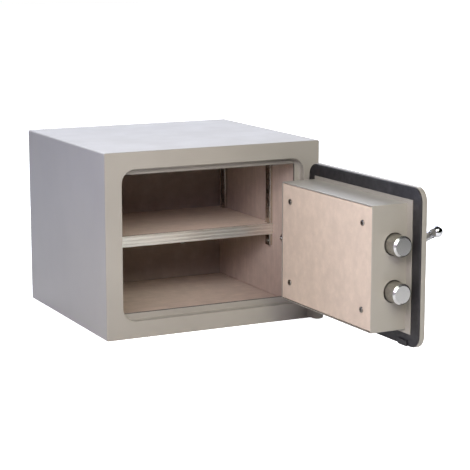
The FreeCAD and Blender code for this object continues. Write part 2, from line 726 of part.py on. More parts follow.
def pinion_outline():
    """One involute flank pair per tooth, joined by short straight roots and lands."""
    base_r = PINION_R * math.cos(PRESSURE)
    tip_r = PINION_R + GEAR_MODULE * 0.95
    root_r = PINION_R - 1.25 * GEAR_MODULE
    roll_tip = math.sqrt((tip_r / base_r) ** 2 - 1)
    roll_pitch = math.tan(PRESSURE)
    flare = roll_pitch - math.atan(roll_pitch)
    half_tooth = (math.pi * GEAR_MODULE / 2 - BACKLASH) / (2 * PINION_R)
    samples = 5
    points = []
    for tooth in range(PINION_TEETH):
        middle = -math.pi / 2 + 2 * math.pi * tooth / PINION_TEETH
        start = middle - half_tooth - flare
        rising = [involute_point(base_r, roll_tip * k / samples, start) for k in range(samples + 1)]
        points.append((root_r * math.cos(start), root_r * math.sin(start)))
        points += rising
        end = middle + half_tooth + flare
        cos_end = math.cos(end)
        sin_end = math.sin(end)
        falling = [involute_point(base_r, roll_tip * k / samples, 0) for k in range(samples, -1, -1)]
        points += [(x * cos_end + y * sin_end, x * sin_end - y * cos_end) for x, y in falling]
        points.append((root_r * cos_end, root_r * sin_end))
    return points


def make_pinion():
    centre_x = HINGE_EDGE - HANDLE_U
    points = [Vec(centre_x + x, FRONT + GEAR_W[0], HANDLE_Z + z) for x, z in pinion_outline()]
    gear = Part.Face(Part.makePolygon(points + points[:1])).extrude(Vec(0, GEAR_W[1] - GEAR_W[0], 0))
    bore = door_rod(HANDLE_U, HANDLE_Z, GEAR_W[0] - 5, GEAR_W[1] + 5, SPINDLE_R + FIXED)
    save_on_door("pinion", gear.cut(bore))


def make_handle_rose():
    rose = door_rod(HANDLE_U, HANDLE_Z, -ROSE_T, -FIT, ROSE_R)
    rose = fillet_edges(rose, 3.0, lambda e: lies_at(e, Y_AXIS, FRONT - ROSE_T))
    save_on_door("handle_rose", rose.cut(door_rod(HANDLE_U, HANDLE_Z, -ROSE_T - 5, 0, SPINDLE_R + RUNNING)))


def spoke_axis(turn):
    """Where a spoke starts on the handle's axis, and which way it leans out."""
    tilt = math.radians(SPOKE_LEAN)
    angle = math.radians(turn)
    centre = Vec(HINGE_EDGE - HANDLE_U, FRONT + SPOKE_W, HANDLE_Z)
    out = Vec(-math.cos(angle), 0, math.sin(angle))
    return centre, out * math.cos(tilt) + Vec(0, -math.sin(tilt), 0)


def spoke(turn):
    """A turned bar with a waist below its ball end."""
    neck_r = 6.2
    neck_l = 2.5
    ball_r = 10.5
    ball_at = SPOKE_REACH / math.cos(math.radians(SPOKE_LEAN))
    neck_end = ball_at - math.sqrt(ball_r ** 2 - neck_r ** 2)
    neck_at = neck_end - neck_l
    corners = [Vec(SPOKE_SEAT, 0, 0), Vec(SPOKE_SEAT, SPOKE_R, 0), Vec(neck_at, SPOKE_R, 0)]
    corners += [Vec(neck_at, neck_r, 0), Vec(neck_end, neck_r, 0)]
    tip = Vec(ball_at + ball_r, 0, 0)
    edges = [Part.LineSegment(p, q).toShape() for p, q in zip(corners, corners[1:])]
    edges.append(Part.Arc(corners[-1], Vec(ball_at, ball_r, 0), tip).toShape())
    edges.append(Part.LineSegment(tip, corners[0]).toShape())
    turned = Part.Face(Part.Wire(edges)).revolve(Vec(0, 0, 0), X_AXIS, 360)
    centre, axis = spoke_axis(turn)
    turned.Placement = FreeCAD.Placement(centre, FreeCAD.Rotation(X_AXIS, axis))
    return turned


def make_handle():
    foot = -ROSE_T - FIT
    hub = door_rod(HANDLE_U, HANDLE_Z, HUB_FACE, foot, HUB_R)
    hub = fillet_edges(hub, 7.0, lambda e: lies_at(e, Y_AXIS, FRONT + HUB_FACE))
    hub = fillet_edges(hub, 1.5, lambda e: lies_at(e, Y_AXIS, FRONT + foot))
    for turn in SPOKE_TURN:
        centre, axis = spoke_axis(turn)
        hub = hub.cut(rod(centre + axis * (SPOKE_SEAT - 2 * FIT), 2 * HUB_R, SPOKE_R + FIT / 2, axis))
    bore = door_rod(HANDLE_U, HANDLE_Z, SPINDLE_W[0] - 1, 0, SPINDLE_R + FIXED)
    save_on_door("handle_hub", hub.cut(bore))
    save_on_door("handle_spokes", *[spoke(turn) for turn in SPOKE_TURN])
    save_on_door("handle_spindle", door_rod(HANDLE_U, HANDLE_Z, *SPINDLE_W, SPINDLE_R))


# ================================================================ key lock
def make_lock_case():
    wall = CASE_WALL
    case = door_block(*CASE_U, WORKS_W, CASE_W, *CASE_Z)
    case = fillet_edges(case, 3.0, lambda e: runs_along(e, Y_AXIS))
    hollow = door_block(
        CASE_U[0] + wall, CASE_U[1] - wall, WORKS_W + wall, CASE_W + 1, CASE_Z[0] + wall, CASE_Z[1] - wall
    )
    play = 0.3
    mouth = door_block(
        CASE_U[1] - 5, CASE_U[1] + 5, LOCK_BOLT_W[0] - play, LOCK_BOLT_W[1] + play,
        LOCK_BOLT_Z[0] - play, LOCK_BOLT_Z[1] + play,
    )
    save_on_door("lock_case", case.cut(hollow).cut(mouth).cut(drum_hole()))
    cover = door_block(*CASE_U, CASE_W + FIT, CASE_W + FIT + wall, *CASE_Z)
    save_on_door("lock_cover", fillet_edges(cover, 3.0, lambda e: runs_along(e, Y_AXIS)))


def make_lock_bolt():
    bolt = door_block(*LOCK_BOLT_U, *LOCK_BOLT_W, *LOCK_BOLT_Z)
    tip_x = HINGE_EDGE - LOCK_BOLT_U[1]
    save_on_door("lock_bolt", fillet_edges(bolt, 1.5, lambda e: lies_at(e, X_AXIS, tip_x)))


def make_lock_drum():
    """A turning barrel with a plain keyhole in its face."""
    depth = 12.0
    eye_r = 2.6
    eye_z = KEY_Z + 2.5
    slit_half = 1.1
    drum = door_rod(KEY_U, KEY_Z, 2 * FIT, CASE_W - 2, DRUM_R)
    eye = door_rod(KEY_U, eye_z, -1, depth, eye_r)
    ward = door_block(KEY_U - slit_half, KEY_U + slit_half, -1, depth, KEY_Z - 5.5, eye_z)
    save_on_door("lock_drum", drum.cut(eye.fuse(ward)))


def make_keyhole():
    """Escutcheon, its swinging cover and the rivet that the cover hangs on."""
    pivot_z = KEY_Z + COVER_RISE
    plate = door_rod(KEY_U, KEY_Z + 3, -ESCUTCHEON_T, -FIT, ESCUTCHEON_R)
    plate = fillet_edges(plate, 1.4, lambda e: lies_at(e, Y_AXIS, FRONT - ESCUTCHEON_T))
    plate = plate.cut(door_rod(KEY_U, KEY_Z, -5, 1, DRUM_R + 0.4))
    save_on_door("keyhole_plate", plate.cut(door_rod(KEY_U, pivot_z, -5, 1, RIVET_R + FIXED)))
    back = -ESCUTCHEON_T - FIT
    face = back - COVER_T
    lobe_r = 10.5
    ear_r = 5.5
    lobe = door_rod(KEY_U, KEY_Z - 1, face, back, lobe_r)
    ear = door_rod(KEY_U, pivot_z, face, back, ear_r)
    web = door_block(KEY_U - ear_r, KEY_U + ear_r, face, back, KEY_Z, pivot_z)
    cover = lobe.fuse([ear, web]).removeSplitter()
    save_on_door("keyhole_cover", cover.cut(door_rod(KEY_U, pivot_z, -8, 1, RIVET_R + RUNNING)))
    head_r = 3.8
    head_top = face - FIT - 1.6
    stem = door_rod(KEY_U, pivot_z, face - FIT - 0.5, -FIT, RIVET_R)
    head = door_rod(KEY_U, pivot_z, head_top, face - FIT, head_r)
    head = fillet_edges(head, 0.9, lambda e: lies_at(e, Y_AXIS, FRONT + head_top))
    save_on_door("cover_rivet", head.fuse(stem).removeSplitter())


# ================================================================ build
os.makedirs("parts", exist_ok=True)

make_outer_casing()
make_back_plate()
make_front_frame()
make_throat_strip()
make_insulation()
make_inner_liner()
make_linings()
make_bolt_sockets()
make_uprights()
make_shelf()
make_shelf_clips()
make_hinges()

make_door_plate()
make_fire_seal()
make_lock_box()
make_back_panel()
make_door_insulation()
make_panel_screws()
make_rest_pad()
make_hinge_side_bolt()
make_bolt_bushes()
make_rack_guide()

make_bolts()
make_carriage_bar()
make_bolt_nuts()
make_rack()

make_handle_rose()
make_handle()
make_pinion()

make_lock_case()
make_lock_bolt()
make_lock_drum()
make_keyhole()
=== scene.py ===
"""The looks of a fire-resistant document safe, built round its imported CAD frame. Metres throughout."""

import json
import math

import bmesh
import bpy
from mathutils import Euler, Matrix, Vector, noise


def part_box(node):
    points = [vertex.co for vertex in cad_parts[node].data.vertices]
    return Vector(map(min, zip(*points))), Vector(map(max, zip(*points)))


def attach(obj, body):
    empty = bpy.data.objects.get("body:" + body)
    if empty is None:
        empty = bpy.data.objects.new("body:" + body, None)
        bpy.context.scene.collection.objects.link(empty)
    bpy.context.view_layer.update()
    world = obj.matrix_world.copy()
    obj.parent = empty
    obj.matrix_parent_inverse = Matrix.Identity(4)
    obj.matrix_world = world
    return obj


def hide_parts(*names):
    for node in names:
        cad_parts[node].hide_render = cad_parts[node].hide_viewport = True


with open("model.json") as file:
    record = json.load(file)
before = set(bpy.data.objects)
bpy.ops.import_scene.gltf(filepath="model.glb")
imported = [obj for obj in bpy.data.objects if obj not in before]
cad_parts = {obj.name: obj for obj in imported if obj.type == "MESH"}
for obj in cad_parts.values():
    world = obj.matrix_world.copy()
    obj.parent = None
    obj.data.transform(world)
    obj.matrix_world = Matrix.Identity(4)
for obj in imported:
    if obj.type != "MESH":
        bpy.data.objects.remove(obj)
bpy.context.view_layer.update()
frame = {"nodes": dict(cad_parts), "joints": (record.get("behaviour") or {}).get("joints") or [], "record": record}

MM = 0.001
X = Vector((1, 0, 0))
Y = Vector((0, 1, 0))
Z = Vector((0, 0, 1))


# ------------------------------------------------------------------ shader helper
class Shader:
    """A node material around one Principled shader. Scales are in waves per metre."""

    def __init__(self, name):
        self.material = bpy.data.materials.new(name)
        self.material.use_nodes = True
        self.tree = self.material.node_tree
        self.tree.nodes.clear()
        self.surface = self.add("ShaderNodeBsdfPrincipled")
        output = self.add("ShaderNodeOutputMaterial")
        self.link(self.surface.outputs["BSDF"], output.inputs["Surface"])
        coordinates = self.add("ShaderNodeTexCoord")
        self.place = coordinates.outputs["Object"]
        self.facing = coordinates.outputs["Normal"]

    def add(self, kind):
        return self.tree.nodes.new(kind)

    def link(self, source, target):
        self.tree.links.new(source, target)

    def feed(self, socket, value):
        """Sets a socket to a number or colour, or links it to another node's output."""
        if isinstance(value, bpy.types.NodeSocket):
            self.link(value, socket)
        elif isinstance(value, (tuple, list)) and len(value) == 3 and socket.type == "RGBA":
            socket.default_value = (*value, 1.0)
        else:
            socket.default_value = value

    def set(self, **values):
        """Feeds the Principled shader's inputs, named with _ for a space."""
        for key, value in values.items():
            self.feed(self.surface.inputs[key.replace("_", " ")], value)

    def noise(self, scale, detail=3.0, rough=0.55, at=None):
        node = self.add("ShaderNodeTexNoise")
        self.feed(node.inputs["Vector"], at or self.place)
        node.inputs["Scale"].default_value = scale
        node.inputs["Detail"].default_value = detail
        node.inputs["Roughness"].default_value = rough
        return node.outputs["Fac"]

    def grain(self, scales, detail=3.0, rough=0.55):
        """Noise with its own scale along each axis."""
        node = self.add("ShaderNodeMapping")
        self.feed(node.inputs["Vector"], self.place)
        node.inputs["Scale"].default_value = scales
        return self.noise(1.0, detail, rough, at=node.outputs["Vector"])

    def span(self, value, low, high, to_low=0.0, to_high=1.0):
        """Maps low..high to to_low..to_high, held at the ends."""
        node = self.add("ShaderNodeMapRange")
        self.feed(node.inputs["Value"], value)
        for key, number in zip(("From Min", "From Max", "To Min", "To Max"), (low, high, to_low, to_high)):
            node.inputs[key].default_value = number
        return node.outputs["Result"]

    def maths(self, kind, first, second=0.0):
        node = self.add("ShaderNodeMath")
        node.operation = kind
        self.feed(node.inputs[0], first)
        self.feed(node.inputs[1], second)
        return node.outputs[0]

    def vector(self, kind, first, second=(0.0, 0.0, 0.0)):
        """A vector operation; gives a number for LENGTH and DOT_PRODUCT."""
        node = self.add("ShaderNodeVectorMath")
        node.operation = kind
        self.feed(node.inputs[0], first)
        self.feed(node.inputs[1], second)
        return node.outputs["Value" if kind in ("LENGTH", "DOT_PRODUCT") else "Vector"]

    def mix(self, fac, first, second):
        """A colour between first (fac 0) and second (fac 1)."""
        node = self.add("ShaderNodeMix")
        node.data_type = "RGBA"
        self.feed(node.inputs["Factor"], fac)
        first_colour, second_colour = [socket for socket in node.inputs if socket.type == "RGBA"]
        self.feed(first_colour, first)
        self.feed(second_colour, second)
        return next(socket for socket in node.outputs if socket.type == "RGBA")

    def bump(self, height, depth, strength, below=None):
        """A bump of the given depth in metres, laid over another bump if one is given."""
        node = self.add("ShaderNodeBump")
        node.inputs["Strength"].default_value = strength
        node.inputs["Distance"].default_value = depth
        self.feed(node.inputs["Height"], height)
        if below is not None:
            self.feed(node.inputs["Normal"], below)
        return node.outputs["Normal"]

    def edges(self, radius):
        """1 on sharp edges, 0 on flats."""
        bevel = self.add("ShaderNodeBevel")
        bevel.samples = 4
        bevel.inputs["Radius"].default_value = radius
        flat = self.add("ShaderNodeNewGeometry").outputs["Normal"]
        likeness = self.vector("DOT_PRODUCT", bevel.outputs["Normal"], flat)
        return self.span(self.maths("SUBTRACT", 1.0, likeness), 0.02, 0.25)


def shade(colour, factor):
    return tuple(min(1.0, channel * factor) for channel in colour)


# ------------------------------------------------------------------ materials
def powder_coat(name, colour):
    """Satin powder coat: orange peel, cloudy tone, faint upright wipe marks, edges paled by wear and a painted
    highlight.
    """
    look = Shader(name)
    cloud = look.span(look.noise(5.0, detail=4.0), 0.3, 0.7)
    tone = look.mix(cloud, shade(colour, 0.95), shade(colour, 1.05))
    patchy = look.span(look.noise(60.0), 0.42, 0.62, 0.1, 0.6)
    # Paler edges: worn paint, and also a painted highlight along the sharp edges.
    worn_and_highlit_edges = look.maths("MULTIPLY", look.edges(1.0 * MM), patchy)
    look.set(Base_Color=look.mix(worn_and_highlit_edges, tone, shade(colour, 1.25)))
    wiped = look.grain((16.0, 16.0, 7.0), detail=4.0)
    look.set(Roughness=look.span(wiped, 0.3, 0.7, 0.29, 0.35))
    orange_peel = look.noise(300.0, detail=1.0)
    look.set(Normal=look.bump(orange_peel, 0.03 * MM, strength=0.25))
    return look.material


def felt(name, colour, nap, dark=0.80):
    """Short-nap felt: worn patches, a soft sheen, and nap that is combed into darker streaks.

    nap holds the streaks' scale along each axis, and dark is how their tone compares with the colour.
    """
    look = Shader(name)
    patch = look.span(look.noise(38.0, detail=6.0, rough=0.66), 0.36, 0.66)
    tone = look.mix(patch, shade(colour, 0.88), shade(colour, 1.06))
    combed = look.span(look.grain(nap, detail=4.0, rough=0.62), 0.40, 0.66)
    tone = look.mix(look.maths("MULTIPLY", combed, 0.6), tone, shade(colour, dark))
    fibre = look.noise(1500.0, rough=0.7)
    tone = look.mix(look.span(fibre, 0.5, 0.75, 0.0, 0.35), tone, shade(colour, 1.15))
    look.set(Base_Color=tone, Roughness=0.96, Specular_IOR_Level=0.15)
    look.set(Sheen_Weight=0.2, Sheen_Roughness=0.5, Sheen_Tint=shade(colour, 1.2))
    soft = look.bump(combed, 0.25 * MM, strength=0.5)
    look.set(Normal=look.bump(fibre, 0.22 * MM, strength=0.75, below=soft))
    return look.material


def polished_chrome(name):
    """Bright plate with fine handling scratches and a faint smear."""
    look = Shader(name)
    smear = look.span(look.noise(45.0, detail=4.0), 0.4, 0.75)
    look.set(Base_Color=look.mix(smear, (0.72, 0.72, 0.73), (0.62, 0.62, 0.62)), Metallic=1.0)
    look.set(Roughness=look.span(smear, 0.0, 1.0, 0.06, 0.13), Specular_Tint=(0.22, 0.22, 0.24))
    scratches = look.grain((90.0, 90.0, 2600.0), detail=2.0, rough=0.6)
    look.set(Normal=look.bump(scratches, 0.004 * MM, strength=0.35))
    return look.material


def turned_bar(name, colour, end_colour, tip):
    """Machined bar along Y: fine tool rings on its side, a polished end turned about the tip's middle."""
    look = Shader(name)
    ring = look.grain((420.0, 900.0, 420.0), detail=2.0, rough=0.7)
    side = look.mix(look.span(ring, 0.35, 0.65), shade(colour, 0.72), shade(colour, 1.18))
    square_on = look.maths("ABSOLUTE", look.vector("DOT_PRODUCT", look.facing, tuple(Y)))
    end = look.span(square_on, 0.35, 0.5)
    look.set(Base_Color=look.mix(end, side, end_colour), Metallic=1.0)
    look.set(Roughness=look.span(end, 0.0, 1.0, 0.40, 0.27))

    from_tip = look.vector("SUBTRACT", look.place, tip)
    from_axis = look.vector("LENGTH", look.vector("MULTIPLY", from_tip, (1.0, 0.0, 1.0)))
    circle = look.add("ShaderNodeCombineXYZ")
    look.feed(circle.inputs["X"], look.maths("MULTIPLY", from_axis, 1800.0))
    turned = look.noise(1.0, detail=2.0, rough=0.6, at=circle.outputs["Vector"])
    side_rings = look.maths("MULTIPLY", ring, look.maths("SUBTRACT", 1.0, end))
    end_rings = look.maths("MULTIPLY", turned, end)
    rings = look.bump(side_rings, 0.03 * MM, strength=0.6)
    look.set(Normal=look.bump(end_rings, 0.008 * MM, strength=0.5, below=rings))
    return look.material


def bolt_bar(bolt):
    """The turned bar of one throw bolt, whose tip is the front end of its box at rest."""
    low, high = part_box(bolt)
    tip = ((low.x + high.x) / 2, low.y, (low.z + high.z) / 2)
    return turned_bar(bolt, BOLT_SIDE, BOLT_END, tip)


def brushed_metal(name, colour, scales, rough):
    """Brushed metal; its brush lines run along the axis with the smallest scale."""
    look = Shader(name)
    line = look.grain(scales, rough=0.65)
    tone = look.mix(look.span(line, 0.3, 0.7), shade(colour, 0.92), shade(colour, 1.06))
    look.set(Base_Color=tone, Metallic=1.0)
    look.set(Roughness=look.span(line, 0.3, 0.7, rough - 0.05, rough + 0.07))
    look.set(Normal=look.bump(line, 0.02 * MM, strength=0.45))
    return look.material


def satin_extrusion(name, colour):
    """Bright anodised profile along X: faint long streaks and light rubs."""
    look = Shader(name)
    streak = look.grain((2.0, 260.0, 260.0), detail=1.0, rough=0.5)
    rub = look.span(look.noise(14.0, detail=2.0), 0.45, 0.75)
    tone = look.mix(look.span(streak, 0.3, 0.7), shade(colour, 0.96), shade(colour, 1.02))
    look.set(Base_Color=look.mix(rub, tone, shade(colour, 0.94)), Metallic=1.0)
    look.set(Roughness=look.span(rub, 0.0, 1.0, 0.33, 0.39))
    return look.material


def matt_sheet(name, colour, scuffed):
    """Matt sheet or edge strip with a faint pressed grain and paler scuffs."""
    look = Shader(name)
    scuff = look.span(look.noise(30.0, detail=5.0, rough=0.6), 0.55, 0.8)
    look.set(Base_Color=look.mix(scuff, colour, scuffed))
    look.set(Roughness=look.span(look.noise(90.0), 0.3, 0.7, 0.42, 0.6))
    look.set(Normal=look.bump(look.noise(1300.0), 0.05 * MM, strength=0.5))
    return look.material


def cast_panel(name):
    """Cast gypsum and cement with pits."""
    look = Shader(name)
    cloud = look.noise(40.0, detail=6.0)
    look.set(Base_Color=look.mix(cloud, (0.50, 0.49, 0.46), (0.66, 0.65, 0.61)), Roughness=0.9)
    pits = look.span(look.noise(260.0, detail=2.0), 0.28, 0.42)
    look.set(Normal=look.bump(pits, 0.4 * MM, strength=0.8))
    return look.material


PAINT = (0.304, 0.282, 0.240)
FELT = (0.53, 0.423, 0.349)
PANEL_FELT = (0.57, 0.467, 0.368)
# The mat's dark cut board edge also paints the line of shade between the mat and the trim.
DARK_EDGE_AND_SHADE = (0.05, 0.038, 0.03)
# The back lining is the cavity felt painted darker: painted shade deep in the cavity.
BACK_PAINTED_SHADE = 0.64
BOLT_SIDE = (0.44, 0.42, 0.375)
BOLT_END = (0.56, 0.55, 0.53)
ZINC = (0.80, 0.78, 0.72)
UPRIGHT = (0.62, 0.59, 0.52)
DARK_STEEL = (0.16, 0.15, 0.14)
BRASS = (0.62, 0.45, 0.20)
TRIM = (0.96, 0.95, 0.89)
SCREW = (0.45, 0.44, 0.42)
PANEL_SCREW = (0.30, 0.28, 0.25)
SEAL = (0.015, 0.014, 0.015)
SEAL_SCUFFED = (0.038, 0.036, 0.038)
# The mouth's edge strip is dark to paint the line of shade along the lip: a painted shadow line.
LIP_SHADOW_STRIP = (0.085, 0.075, 0.066)
LIP_SHADOW_STRIP_SCUFFED = (0.12, 0.11, 0.10)

materials = {
    "paint": powder_coat("paint", PAINT),
    "felt_wall": felt("felt_wall", FELT, (220.0, 220.0, 14.0)),
    "back_felt_painted_shade": felt("back_felt_painted_shade", shade(FELT, BACK_PAINTED_SHADE), (60.0, 60.0, 60.0), dark=0.88),
    "felt_floor": felt("felt_floor", FELT, (14.0, 160.0, 160.0)),
    "felt_panel": felt("felt_panel", PANEL_FELT, (90.0, 90.0, 60.0), dark=0.90),
    "chrome": polished_chrome("chrome"),
    "zinc": brushed_metal("zinc", ZINC, (500.0, 500.0, 12.0), 0.22),
    "dark_steel": brushed_metal("dark_steel", DARK_STEEL, (700.0, 40.0, 700.0), 0.38),
    "satin_trim": satin_extrusion("satin_trim", TRIM),
    "screw": brushed_metal("screw", SCREW, (700.0, 700.0, 700.0), 0.28),
    "dark_screw": brushed_metal("dark_screw", PANEL_SCREW, (300.0, 300.0, 300.0), 0.20),
    "upright": brushed_metal("upright", UPRIGHT, (300.0, 300.0, 12.0), 0.18),
    "lip_shadow_strip": matt_sheet("lip_shadow_strip", LIP_SHADOW_STRIP, LIP_SHADOW_STRIP_SCUFFED),
    "black": matt_sheet("black", SEAL, SEAL_SCUFFED),
    "cast": cast_panel("cast"),
    "brass": brushed_metal("brass", BRASS, (900.0, 30.0, 900.0), 0.25),
    "cut_edge_and_shade_line": felt("cut_edge_and_shade_line", DARK_EDGE_AND_SHADE, (60.0, 60.0, 60.0)),
    "bolt_upper": bolt_bar("bolt_upper"),
    "bolt_lower": bolt_bar("bolt_lower"),
}

UPRIGHTS = ["upright_left_front", "upright_left_rear", "upright_right_front", "upright_right_rear"]
FINISH = {
    "paint": [
        "outer_casing", "back_plate", "front_frame", "inner_liner", "hinge_fixed_lower", "hinge_fixed_upper",
        "door_plate", "lock_box", "hinge_arm_lower", "hinge_arm_upper",
    ],
    "cast": [
        "insulation_left", "insulation_right", "insulation_bottom", "insulation_top", "insulation_back",
        "door_insulation",
    ],
    "zinc": [
        "bolt_sockets", "shelf_clips", "shelf_tray", "carriage_bar", "rack", "rack_guide", "lock_case",
        "lock_cover",
    ],
    "upright": UPRIGHTS,
    "satin_trim": ["shelf_trim"],
    "screw": [
        "upright_screws", "hinge_pins", "hinge_washers", "bolt_nuts", "handle_spindle", "pinion", "lock_bolt",
        "cover_rivet",
    ],
    "dark_screw": ["panel_screws"],
    "chrome": [
        "hinge_side_bolt", "handle_hub", "handle_spokes", "handle_rose", "keyhole_plate", "keyhole_cover",
    ],
    "black": ["fire_seal", "door_rest_pad"],
    # The throat strip's dark colour is a painted shadow line along the lip.
    "lip_shadow_strip": ["throat_strip"],
    "dark_steel": ["bolt_bushes"],
    "brass": ["lock_drum"],
    "bolt_upper": ["bolt_upper"],
    "bolt_lower": ["bolt_lower"],
}


def finish_cad_nodes():
    for material, nodes in FINISH.items():
        for node in nodes:
            slots = frame["nodes"][node].data.materials
            slots.clear()
            slots.append(materials[material])


# ------------------------------------------------------------------ mesh helpers
SAG_WAVES = 28.0  # per metre


def stations(length, cell, rim):
    """Grid stations along an edge: close together where the cloth rounds the rim, even between."""
    fine = [0.0, 0.12 * rim, 0.4 * rim, rim]
    count = max(2, round((length - 2 * rim) / cell))
    middle = [rim + (length - 2 * rim) * k / count for k in range(1, count)]
    return fine + middle + [length - value for value in reversed(fine)]


def rolled_edge(distance, rim):
    """How far cloth sinks at a distance from the edge of its board."""
    if distance >= rim:
        return 0.0
    return rim - math.sqrt(rim * rim - (rim - distance) ** 2)


def cloth_board(corner, across, up, depth, rim=1.1 * MM, sag=0.35 * MM, cell=3.0 * MM, press=None):
    """A board wrapped in cloth: a fine grid with rolled edges and a slight sag, closed by its sides and back.

    corner, across, up and depth are vectors; press(point) adds to how far the face sinks at a point.
    """
    inward = depth.normalized()
    columns = stations(across.length, cell, rim)
    rows = stations(up.length, cell, rim)
    build = bmesh.new()
    grid = []
    for height in rows:
        line = []
        for width in columns:
            point = corner + across.normalized() * width + up.normalized() * height
            edge = min(width, height, across.length - width, up.length - height)
            sink = rolled_edge(edge, rim) + sag * (0.5 + 0.5 * noise.noise(point * SAG_WAVES))
            if press:
                sink += press(point)
            line.append(build.verts.new(point + inward * sink))
        grid.append(line)
    for low, high in zip(grid, grid[1:]):
        for k in range(len(columns) - 1):
            build.faces.new((low[k], low[k + 1], high[k + 1], high[k]))

    bottom = grid[0][:-1]
    right = [line[-1] for line in grid[:-1]]
    top = grid[-1][:0:-1]
    left = [line[0] for line in grid[:0:-1]]
    outline = bottom + right + top + left
    back = []
    for front in outline:
        sunk = (front.co - corner).dot(inward)
        back.append(build.verts.new(front.co + inward * (depth.length - sunk)))
    for k in range(len(outline)):
        build.faces.new((outline[k - 1], outline[k], back[k], back[k - 1]))
    build.faces.new(back)
    bmesh.ops.recalc_face_normals(build, faces=build.faces)
    return build


def place_mesh(name, build):
    """Puts a finished bmesh in the scene as an object."""
    mesh = bpy.data.meshes.new(name)
    build.to_mesh(mesh)
    build.free()
    placed = bpy.data.objects.new(name, mesh)
    bpy.context.scene.collection.objects.link(placed)
    return placed


def make_piece(name, build, material):
    piece = place_mesh(name, build)
    mesh = piece.data
    mesh.materials.append(materials[material])
    mesh.polygons.foreach_set("use_smooth", [True] * len(mesh.polygons))
    mesh.set_sharp_from_angle(angle=math.radians(50))
    return piece


def cut_away(piece, cutters):
    """Takes closed cutter meshes out of a piece and removes them."""
    for cutter in cutters:
        step = piece.modifiers.new("cut", "BOOLEAN")
        step.operation = "DIFFERENCE"
        step.solver = "EXACT"
        step.object = cutter
    bpy.context.view_layer.update()
    evaluated = piece.evaluated_get(bpy.context.evaluated_depsgraph_get())
    mesh = bpy.data.meshes.new_from_object(evaluated)
    piece.modifiers.clear()
    old = piece.data
    piece.data = mesh
    mesh.name = old.name
    bpy.data.meshes.remove(old)
    for cutter in cutters:
        bpy.data.objects.remove(cutter)


def round_cutter(centre, axis, radius, sides=48, length=20.0 * MM):
    turn = Z.rotation_difference(axis).to_matrix().to_4x4()
    build = bmesh.new()
    bmesh.ops.create_cone(
        build, cap_ends=True, segments=sides, radius1=radius, radius2=radius, depth=length,
        matrix=Matrix.Translation(centre) @ turn,
    )
    return place_mesh("cutter", build)


def box_cutter(low, high):
    to_box = Matrix.Translation((low + high) / 2) @ Matrix.Diagonal((*(high - low), 1.0))
    build = bmesh.new()
    bmesh.ops.create_cube(build, size=1.0, matrix=to_box)
    return place_mesh("cutter", build)


def install(piece, body, node):
    """Puts a felt piece in the place of its CAD board."""
    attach(piece, body)
    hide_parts(node)


# ------------------------------------------------------------------ linings
SOCKET_HOLE_R = 20.2 * MM


def lining(name, face_axis, material, cutters=()):
    """A felt-covered board in place of one lining; face_axis points from the board into the cavity."""
    low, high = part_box("lining_" + name)
    size = high - low
    thickness = abs(size.dot(face_axis))
    corner = low.copy()
    if face_axis in (X, Y, Z):
        corner += face_axis * thickness
    across, up = [axis * size.dot(axis) for axis in (X, Y, Z) if axis.dot(face_axis) == 0.0]
    build = cloth_board(corner, across, up, -face_axis * thickness)
    piece = make_piece("felt_lining_" + name, build, material)
    if cutters:
        cut_away(piece, cutters)
    install(piece, "cabinet", "lining_" + name)


def socket_cutters():
    """Round the two bolt cups, which share one CAD node: upper and lower end of its box."""
    low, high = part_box("bolt_sockets")
    cup_r = (high.y - low.y) / 2
    middle_y = (low.y + high.y) / 2
    heights = (low.z + cup_r, high.z - cup_r)
    return [round_cutter(Vector((high.x, middle_y, height)), X, SOCKET_HOLE_R) for height in heights]


def anchor_cutters():
    """Round the two wall anchors, as the record states them."""
    mount = next(mount for mount in frame["record"]["mounts"] if mount["name"] == "wall_anchors")
    half = mount["dims"]["spacing_x_mm"] * MM / 2
    radius = mount["dims"]["hole_r_mm"] * MM
    low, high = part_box("lining_back")
    centre = Vector(mount["pos_m"])
    centre.y = (low.y + high.y) / 2
    return [round_cutter(centre + X * side * half, Y, radius) for side in (-1, 1)]


def make_linings():
    lining("floor", Z, "felt_floor")
    lining("ceiling", -Z, "felt_floor")
    lining("right", -X, "felt_wall")
    lining("left", X, "felt_wall", socket_cutters())
    # The back lining takes the darker felt: painted shade at the back of the cavity.
    lining("back", -Y, "back_felt_painted_shade", anchor_cutters())


# ------------------------------------------------------------------ door panel
PANEL_PROUD = 0.5 * MM
PANEL_RIM = 1.4 * MM
PANEL_SAG = 0.1 * MM
PANEL_CELL = 1.7 * MM
SCREW_HEAD_R = 5.4 * MM
SCREW_HOLE_R = 2.3 * MM
DIMPLE_R = 10.5 * MM


def smooth_step(part):
    """0 to 1 as part goes from 0 to 1, level at both ends."""
    return part * part * (3.0 - 2.0 * part)


def opening_turn():
    """The turn that takes the shut door to its open place at rest."""
    hinge = next(joint for joint in frame["joints"] if joint["name"] == "door_hinge")
    pivot = Vector(hinge["pos_m"])
    turn = Matrix.Rotation(-math.radians(hinge["range_deg"][0]), 4, Vector(hinge["axis"]))
    return Matrix.Translation(pivot) @ turn @ Matrix.Translation(-pivot)


def shut_box(node, opened):
    """A door node's lowest and highest corners with the door shut."""
    shut = opened.inverted()
    points = [shut @ v.co for v in frame["nodes"][node].data.vertices]
    low = Vector([min(p[k] for p in points) for k in range(3)])
    high = Vector([max(p[k] for p in points) for k in range(3)])
    return low, high


